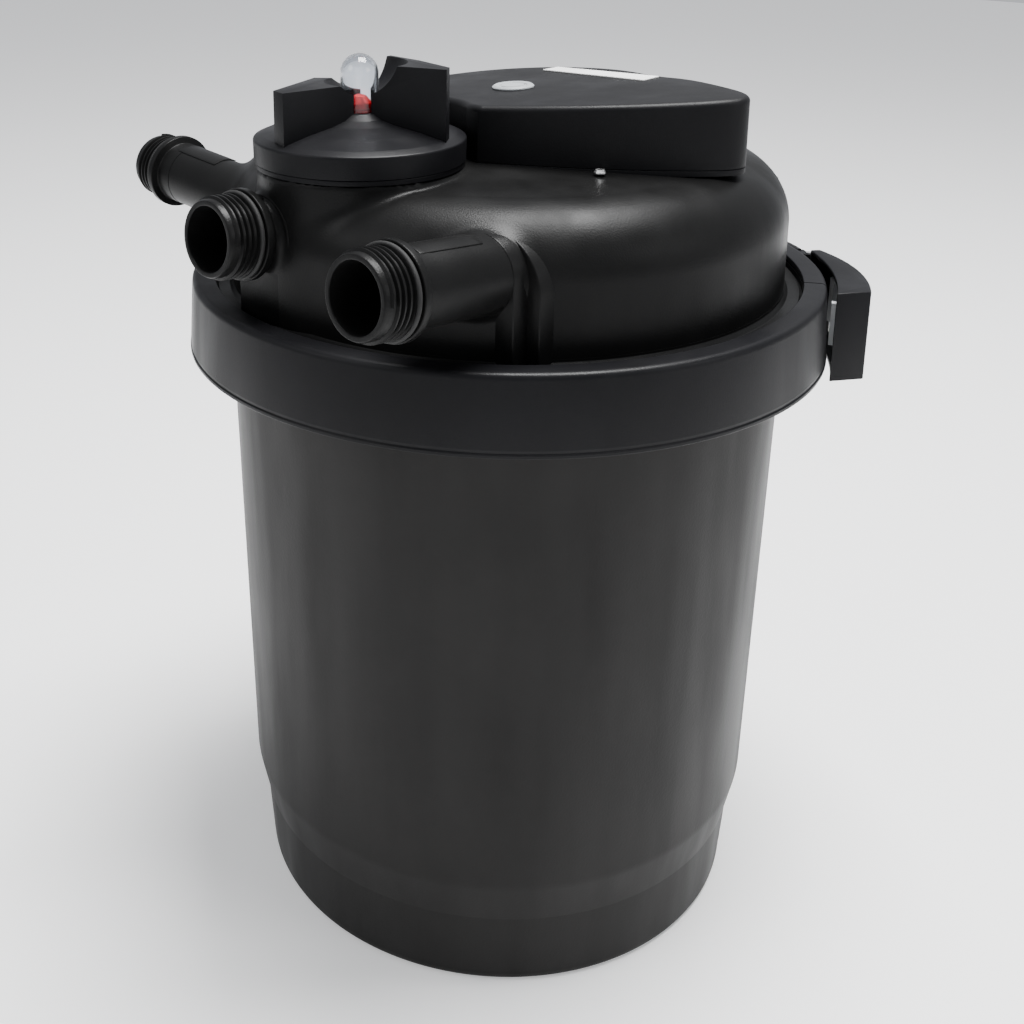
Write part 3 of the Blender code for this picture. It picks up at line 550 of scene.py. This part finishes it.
def pipe_distance(p, port):
    along = (p - np.array(port["mouth"])) @ np.array(port["way"])
    radial = length_of(*((p - np.array(port["mouth"])) - along[:, None] * np.array(port["way"])).T)
    return np.maximum(np.maximum(radial - port["pipe"], PIPE_START - along), along - port["length"])


def blended(a, b, radius):
    """The nearer of two forms, with a fillet where they meet."""
    overlap = np.maximum(radius - np.abs(a - b), 0.0) / radius
    return np.minimum(a, b) - overlap * overlap * radius * 0.25


def lid_distance(p):
    """How far each point is outside the lid's form; inside is negative."""
    result = blended(dome_distance(p), chamber_distance(p), DOME_FILLET)
    for port in PORTS.values():
        result = blended(result, pipe_distance(p, port), PIPE_FILLET)
    return np.maximum(result, np.maximum(LID_FOOT - p[:, 2], p[:, 2] - CHAMBER_TOP + 0.0003))


# %% Rough forms, remeshed into one skin


def aligned(port):
    """Turn a piece made along -Z from the origin so that it runs into the lid from the port's mouth."""
    turn = Vector((0.0, 0.0, -1.0)).rotation_difference(Vector(port["way"]))
    return Matrix.Translation(port["mouth"]) @ turn.to_matrix().to_4x4()


def rod(radius, low, high, steps=48):
    """An upright solid cylinder."""
    shape = bmesh.new()
    bmesh.ops.create_cone(shape, cap_ends=True, cap_tris=False, segments=steps, radius1=radius,
                          radius2=radius, depth=high - low)
    return moved(shape, Matrix.Translation((0.0, 0.0, (low + high) / 2.0)))


rough = [turned([(0.0, LID_TOP, 0.0), (0.137, LID_TOP - DOME_FALL, 0.0), (0.1640, 0.4860, 0.0),
                 (LID_R, 0.4595, 0.0), (LID_R, LID_FOOT, 0.0), (0.0, LID_FOOT, 0.0)], 96)]
rough.append(moved(rod(CHAMBER_R, LID_FOOT, CHAMBER_TOP, 96), Matrix.Translation((VALVE.x, VALVE.y, 0.0))))
for port in PORTS.values():
    rough.append(moved(rod(port["pipe"], -port["length"], -PIPE_START), aligned(port)))
lid = together("lid_shell", rough)
skin = lid.modifiers.new("skin", "REMESH")
skin.mode = "VOXEL"
skin.voxel_size = SKIN_CELL
lid.data = bpy.data.meshes.new_from_object(lid.evaluated_get(bpy.context.evaluated_depsgraph_get()))
lid.modifiers.clear()
print("lid skin", len(lid.data.vertices), "points")

# %% Move the skin onto the blended forms
points = np.empty(len(lid.data.vertices) * 3)
lid.data.vertices.foreach_get("co", points)
points = points.reshape(-1, 3)
STEP = 0.0001
for turn in range(6):
    value = lid_distance(points)
    slope = np.stack([
        (lid_distance(points + offset) - lid_distance(points - offset)) / (2.0 * STEP)
        for offset in np.eye(3) * STEP
    ], axis=1)
    size = np.maximum((slope * slope).sum(axis=1), 0.25)
    points -= slope * np.clip(value / size, -0.0015, 0.0015)[:, None]
lid.data.vertices.foreach_set("co", points.ravel())
print("largest error", float(np.abs(lid_distance(points)).max()))


def port_bores():
    """Cutters for the three bores; a cut uses them up, so each cut asks for its own."""
    cutters = []
    for name, port in PORTS.items():
        cutter = rod(port["bore"] + 0.0002, -BORE_DEPTH, 0.0, 64)
        cutters.append(object_of(moved(cutter, aligned(port)), "bore_" + name))
    return cutters


cut_away(lid, port_bores())
done(lid, lid_black, "root", ["lid"], 50.0)

# %% [markdown]
# The hoods over pipes A and B are flat-faced arches with crisp edges, so they stay out of the remesh.

# %% Hoods
for index, (x, radius, z, front, back) in enumerate(HOODS):
    angles = [pi * step / 32 for step in range(33)]
    crown = [(radius * cos(angle), z - LID_FOOT + radius * sin(angle)) for angle in angles]
    block = slab([(-radius, 0.0), (radius, 0.0)] + crown, 0.0, back - front)
    soften(block, 0.0008, 3, 50.0)
    moved(block, Matrix.Translation((x, back, LID_FOOT)) @ Matrix.Rotation(radians(90.0), 4, "X"))
    hood = object_of(block, "lid_hood_%d" % (index + 1))
    cut_away(hood, port_bores())
    done(hood, lid_black, "root")

# %% [markdown]
# The lid's flange lies under the ring and shows as a thin step inside it.

# %% Lid flange
flange = object_of(turned([
    (0.1690, 0.4190, 0.0), (0.1752, 0.4190, 0.0), (0.1752, 0.4175, 0.001), (0.1775, 0.4150, 0.001),
    (0.1848, 0.4150, 0.0006), (0.1853, 0.4128, 0.0004), (0.1866, 0.4128, 0.0), (0.1866, 0.4166, 0.0),
    (0.1942, 0.4166, 0.0), (0.1942, 0.4028, 0.0), (0.1765, 0.4028, 0.0), (0.1690, 0.4120, 0.0),
    (0.1690, 0.4190, 0.0),
][:-1], 200, True), "lid_flange")
done(flange, lid_black, "root")

# %% [markdown]
# ## Port mouths
#
# Each mouth has a coarse hose thread behind a chamfered lip, and a collar that stops the hose nut.
# The thread is a real helix: a small ridge spun round and round with a step along the axis.

# %% Port mouths
THREAD_LENGTH = 0.0225
THREAD_PITCH = 0.0037
THREAD_DEPTH = 0.0017


def thread_ridge(radius):
    """The helical ridge of a hose thread, made down from the mouth."""
    shape = bmesh.new()
    root = radius - THREAD_DEPTH - 0.0003
    ridge = [(root, 0.0012), (radius, 0.0004), (radius, -0.0004), (root, -0.0012)]
    face = shape.faces.new([shape.verts.new((r, 0.0, z - 0.0042)) for r, z in ridge])
    turns = 4.4
    per_turn = 72
    bmesh.ops.spin(shape, geom=[face], cent=(0, 0, 0), axis=(0, 0, 1), angle=tau * turns,
                   dvec=(0.0, 0.0, -THREAD_PITCH / per_turn), steps=int(turns * per_turn),
                   use_merge=False, use_duplicate=False)
    bmesh.ops.recalc_face_normals(shape, faces=shape.faces)
    return shape


def port_mouth(name, port):
    """Lip, threaded neck and collar of one port."""
    root = port["thread"] - THREAD_DEPTH
    neck = -THREAD_LENGTH
    bore = port["bore"]
    collar = port["collar"]
    tube = turned([
        (bore, -0.040, 0.0), (bore, 0.0, 0.0008), (root - 0.0008, 0.0, 0.0006), (root, -0.0018, 0.0),
        (root, neck, 0.0006), (collar, neck, 0.0008), (collar, neck - 0.0044, 0.0008),
        (port["pipe"] + 0.0002, neck - 0.0058, 0.0008), (port["pipe"] + 0.0002, -0.040, 0.0),
    ], 96, True)
    piece = together("port_%s_mouth" % name, [moved(tube, aligned(port)),
                                              moved(thread_ridge(port["thread"]), aligned(port))])
    return done(piece, lid_black, "root")


def ring_seal(name, radius, thickness, matrix, body, replaced):
    """A round rubber ring."""
    section = [(radius + thickness * cos(tau * k / 16), thickness * sin(tau * k / 16)) for k in range(16)]
    shape = bmesh.new()
    spun(shape, section, 96, True)
    return done(object_of(moved(shape, matrix), name), rubber_black, body, replaced)


for name, port in PORTS.items():
    port_mouth(name, port)
    place = aligned(port) @ Matrix.Translation((0.0, 0.0, 0.0022 - THREAD_LENGTH))
    ring_seal("port_%s_ring" % name, port["thread"] + 0.0002, 0.0014, place, "root", ["port_seal_" + name])

# %% [markdown]
# Pipes A and C carry a blank raised pad, and a small boss stands on pipe B. Each pad is a grid
# wrapped round its pipe.

# %% Pads on the pipes


def pipe_pad(name, port, start, end, spread, height):
    """A raised pad from start to end along a pipe, as wide as its spread in degrees."""
    shape = bmesh.new()
    bmesh.ops.create_grid(shape, x_segments=12, y_segments=12, size=0.5)
    up = bmesh.ops.extrude_face_region(shape, geom=list(shape.faces))["geom"]
    lifted = {item for item in up if isinstance(item, bmesh.types.BMVert)}
    way = Vector(port["way"])
    above = (Vector((0.0, 0.0, 1.0)) - way * way.z).normalized()
    side = way.cross(above)
    for vertex in shape.verts:
        angle = vertex.co.x * radians(spread)
        along = start + (vertex.co.y + 0.5) * (end - start)
        radius = port["pipe"] + (height if vertex in lifted else -0.001)
        turn = above * cos(angle) + side * sin(angle)
        vertex.co = Vector(port["mouth"]) + way * along + turn * radius
    bmesh.ops.recalc_face_normals(shape, faces=shape.faces)
    soften(shape, 0.0003, 2, 60.0)
    return done(object_of(shape, name), lid_black, "root")


pipe_pad("pad_a", PORTS["a"], 0.033, 0.078, 52.0, 0.0006)
pipe_pad("pad_c", PORTS["c"], 0.036, 0.076, 52.0, 0.0006)
pipe_pad("pad_b", PORTS["b"], 0.031, 0.040, 40.0, 0.0008)

# %% [markdown]
# ## Selector valve
#
# A thin collar crowns the chamber, and the knob turns on it. The knob's skirt is turned, and its
# grip is two blocks that stand either side of the sight glass. A ball cut from both clears the
# view of the glass.

# %% Collar and knob
valve_place = Matrix.Translation((VALVE.x, VALVE.y, 0.0))
collar = turned([(0.0560, 0.5028, 0.0), (0.0560, 0.5057, 0.0004), (0.0608, 0.5057, 0.0008),
                 (0.0608, 0.5028, 0.0004)], 160, True)
valve_collar = object_of(moved(collar, valve_place), "collar_fine")
done(valve_collar, clamp_black, "root", ["valve_collar"])

KNOB_R = 0.0616
GLASS_WELL = 0.0113
WING_FOOT = 0.5140
BALL_R = 0.0295
BALL_Z = 0.5710
skirt = turned([
    (GLASS_WELL, 0.5060, 0.0), (GLASS_WELL, 0.5335, 0.0004), (0.0135, 0.5330, 0.0006),
    (0.0180, 0.5300, 0.004), (0.0260, 0.5275, 0.006), (0.0420, 0.5245, 0.01), (0.0560, 0.5210, 0.008),
    (KNOB_R, 0.5186, 0.0016), (KNOB_R - 0.0002, 0.5060, 0.0008),
], 160, True)
# outline in millimetres from the valve's axis, height of the top
WINGS = [
    ([(-28.0, -10.0), (-8.2, -56.0), (2.5, -57.9), (7.0, -11.0), (-8.0, 8.0)], 0.5500),
    ([(12.0, -2.0), (55.6, 14.5), (50.5, 22.0), (19.3, 29.0), (-7.0, 31.0), (-3.0, 12.0)], 0.5610),
]
wing_shapes = []
for outline, top in WINGS:
    wing_shapes.append(slab([(x / 1000.0, y / 1000.0) for x, y in outline], WING_FOOT, top))
wings = together("knob_wings", wing_shapes)
ball = bmesh.new()
bmesh.ops.create_uvsphere(ball, u_segments=96, v_segments=64, radius=BALL_R)
cut_away(wings, [object_of(moved(ball, Matrix.Translation((0.0, 0.0, BALL_Z))), "ball"),
                 object_of(rod(GLASS_WELL, 0.5000, 0.6000, 96), "well")])
wing_mesh = bmesh.new()
wing_mesh.from_mesh(wings.data)
bpy.data.objects.remove(wings, do_unlink=True)
bmesh.ops.remove_doubles(wing_mesh, verts=wing_mesh.verts, dist=0.00005)
soften(wing_mesh, 0.0012, 3, 28.0)
knob = together("knob_fine", [moved(skirt, valve_place), moved(wing_mesh, valve_place)])
done(knob, clamp_black, "knob", ["selector_knob"])

# %% [markdown]
# ## Sight glass and float
#
# The glass is a thin clear dome. The red float inside shows how clogged the foam is, so it is
# bright and has a few grooves.

# %% Sight glass, float and spring
GLASS_R = 0.0110
GLASS_TOP = 0.5660
GLASS_FOOT = 0.5080
GLASS_WALL = 0.0013


def dome_arc(radius):
    """A quarter circle from the glass's top point out to its side."""
    turns = [pi / 2 * step / 12 for step in range(13)]
    return [(radius * sin(turn), GLASS_TOP - GLASS_R + radius * cos(turn)) for turn in turns]


inner_r = GLASS_R - GLASS_WALL
glass_foot = [(GLASS_R, GLASS_FOOT), (inner_r, GLASS_FOOT)]
glass_shape = bmesh.new()
spun(glass_shape, dome_arc(GLASS_R) + glass_foot + dome_arc(inner_r)[::-1], 64)
glass = object_of(moved(glass_shape, valve_place), "glass_dome")
done(glass, sight_clear, "knob", ["sight_glass"])

FLOAT_R = 0.0070
GROOVE_R = 0.0064
float_corners = [(0.0, 0.5250, 0.0), (FLOAT_R, 0.5250, 0.0004)]
for groove in range(3):
    height = 0.5280 + 0.0030 * groove
    float_corners.append((FLOAT_R, height, 0.0))
    float_corners.append((GROOVE_R, height + 0.0004, 0.0))
    float_corners.append((FLOAT_R, height + 0.0008, 0.0))
float_corners += [(FLOAT_R, 0.5380, 0.0012), (0.0040, 0.5418, 0.0015), (0.0, 0.5430, 0.0)]
float_piece = object_of(moved(turned(float_corners, 48), valve_place), "float_fine")
done(float_piece, float_red, "indicator", ["indicator_float"])

COIL_TURNS = 5
COIL_STEPS = 160
COIL_HEIGHT = 0.0153
coil = bmesh.new()
coil_start = Matrix.Translation((0.0055, 0.0, 0.5084)) @ Matrix.Rotation(pi / 2, 4, "X")
bmesh.ops.create_circle(coil, cap_ends=True, segments=8, radius=0.0005, matrix=coil_start)
bmesh.ops.spin(coil, geom=list(coil.faces), cent=(0, 0, 0), axis=(0, 0, 1), angle=tau * COIL_TURNS,
               dvec=(0.0, 0.0, COIL_HEIGHT / COIL_STEPS), steps=COIL_STEPS, use_merge=False,
               use_duplicate=False)
bmesh.ops.recalc_face_normals(coil, faces=coil.faces)
done(object_of(moved(coil, valve_place), "spring_fine"), steel, "knob", ["indicator_spring"])

# %% [markdown]
# ## Lamp box
#
# The box is hollowed round the knob on one side and swept round on the other. Its plan is a few
# corners, cut down again and again until they are smooth, and the cover's top rises to the right.

# %% Lamp box outline


def eased(points, times=3):
    """Cut each corner at a quarter of its edges, which rounds a line and keeps its ends."""
    for turn in range(times):
        cut = [points[0]]
        for a, b in zip(points, points[1:]):
            cut += [a * 0.75 + b * 0.25, a * 0.25 + b * 0.75]
        points = cut + [points[-1]]
    return points


front = [(0.0340, -0.0640), (0.0660, -0.0470), (0.0980, -0.0260), (0.1270, -0.0020), (0.1480, 0.0210)]
right = [(0.1520, 0.0340), (0.1440, 0.0470), (0.1180, 0.0600), (0.0860, 0.0720)]
back = [Vector((0.0180, -0.0060)) + polar(0.0880, 62.0 + 108.0 * k / 7) for k in range(8)]
hollow = [VALVE + polar(0.0640, 120.0 - 62.0 * k / 16) for k in range(17)]
box_plan = eased([Vector(p) for p in front + right] + back, 2) + hollow
SLOPE_AZIMUTH = 46.0
SLOPE_RISE = 0.0110
SLOPE_RUN = 0.2085
SLOPE = Vector((cos(radians(SLOPE_AZIMUTH)), sin(radians(SLOPE_AZIMUTH))))


def top_height(x, y):
    """The height of the cover's sloping top over a point of the plan."""
    share = (Vector((x, y)).dot(SLOPE) + 0.0750) / SLOPE_RUN
    return 0.5320 + SLOPE_RISE * share


def box_part(name, low, high, edge, replaced):
    """A closed block over the box's plan; a high of None follows the sloping top."""
    shape = slab(box_plan, low, 0.6 if high is None else high)
    top = [vertex for vertex in shape.verts if vertex.co.z > low + 0.001]
    if high is None:
        for vertex in top:
            vertex.co.z = top_height(vertex.co.x, vertex.co.y)
    rim = [e for e in shape.edges if all(v in top for v in e.verts)]
    bmesh.ops.bevel(shape, geom=rim, offset=edge, offset_type="OFFSET", segments=6, profile=0.5,
                    affect="EDGES", clamp_overlap=True, material=-1)
    return done(object_of(shape, name), box_black, "root", replaced, 40.0)


box_part("lamp_box_cover", 0.5022, None, 0.0042, ["uv_box_cover"])
box_part("lamp_box_base", 0.4985, 0.5018, 0.0004, ["uv_box_base"])

# %% Window, plate and clip
LENS_X = 0.0085
LENS_Y = -0.0055
lens_place = Matrix.Translation((LENS_X, LENS_Y, top_height(LENS_X, LENS_Y)))
lens_tilt = Matrix.Rotation(-atan(SLOPE_RISE / SLOPE_RUN), 4, "Y")
lens_place = lens_place @ Matrix.Rotation(radians(SLOPE_AZIMUTH), 4, "Z") @ lens_tilt
lens = turned([
    (0.0, 0.0017, 0.0), (0.0070, 0.0017, 0.0), (0.0074, 0.0010, 0.0002), (0.0084, 0.0010, 0.0002),
    (0.0088, 0.0017, 0.0003), (0.0115, 0.0021, 0.0008), (0.0130, 0.0010, 0.0006), (0.0130, 0.0002, 0.0),
    (0.0, 0.0002, 0.0),
], 96)
window = object_of(moved(lens, lens_place), "lamp_window_fine")
done(window, window_grey, "root", ["lamp_window"])

plate_plan = [(-0.0180, 0.0530), (0.0660, 0.0500), (0.0660, 0.0660), (-0.0160, 0.0660)]
plate = slab(plate_plan, 0.0001, 0.0009)
soften(plate, 0.0002, 2)
for vertex in plate.verts:
    vertex.co.z += top_height(vertex.co.x, vertex.co.y)
done(object_of(plate, "plate_fine"), plate_white, "root", ["rating_plate"])

clip = bmesh.new()
bmesh.ops.create_cube(clip, size=1.0)
CLIP_AZIMUTH = 53.0
clip_turn = Matrix.Rotation(radians(CLIP_AZIMUTH), 4, "Z") @ Matrix.Rotation(radians(-12.0), 4, "Y")
clip_x, clip_y = polar(LID_R - SHOULDER_R, CLIP_AZIMUTH)
clip_place = Matrix.Translation((clip_x, clip_y, 0.4595)) @ clip_turn
clip_place = clip_place @ Matrix.Translation((0.0400, 0.0, 0.0))
moved(clip, clip_place @ Matrix.Diagonal((0.0048, 0.0158, 0.0118, 1.0)))
soften(clip, 0.0012, 3)
done(object_of(clip, "clip_fine"), box_black, "root", ["cable_clip"])

# %% [markdown]
# ## Pieces that keep their own shape
#
# The pins, brackets, inner parts and fasteners already have the right form, so they only get a
# finish.

# %% Finishes for the model's own pieces
SLOT_FINISH = {
    "clamp_black": clamp_black, "lid_black": lid_black, "box_black": box_black, "steel": steel,
    "rubber_black": rubber_black, "light_grey": light_grey, "plate_white": plate_white,
    "inner_grey": inner_grey, "clear_glass": quartz_clear, "lamp_glass": lamp_white,
    "foam_blue": foam_blue, "foam_green": foam_green, "float_red": float_red, "bucket_black": bucket_black,
}
for entry in frame["record"]["subparts"]:
    node = frame["nodes"].get(entry["node"])
    if node is not None:
        node.data.materials.clear()
        node.data.materials.append(SLOT_FINISH[entry["material_slot"]])
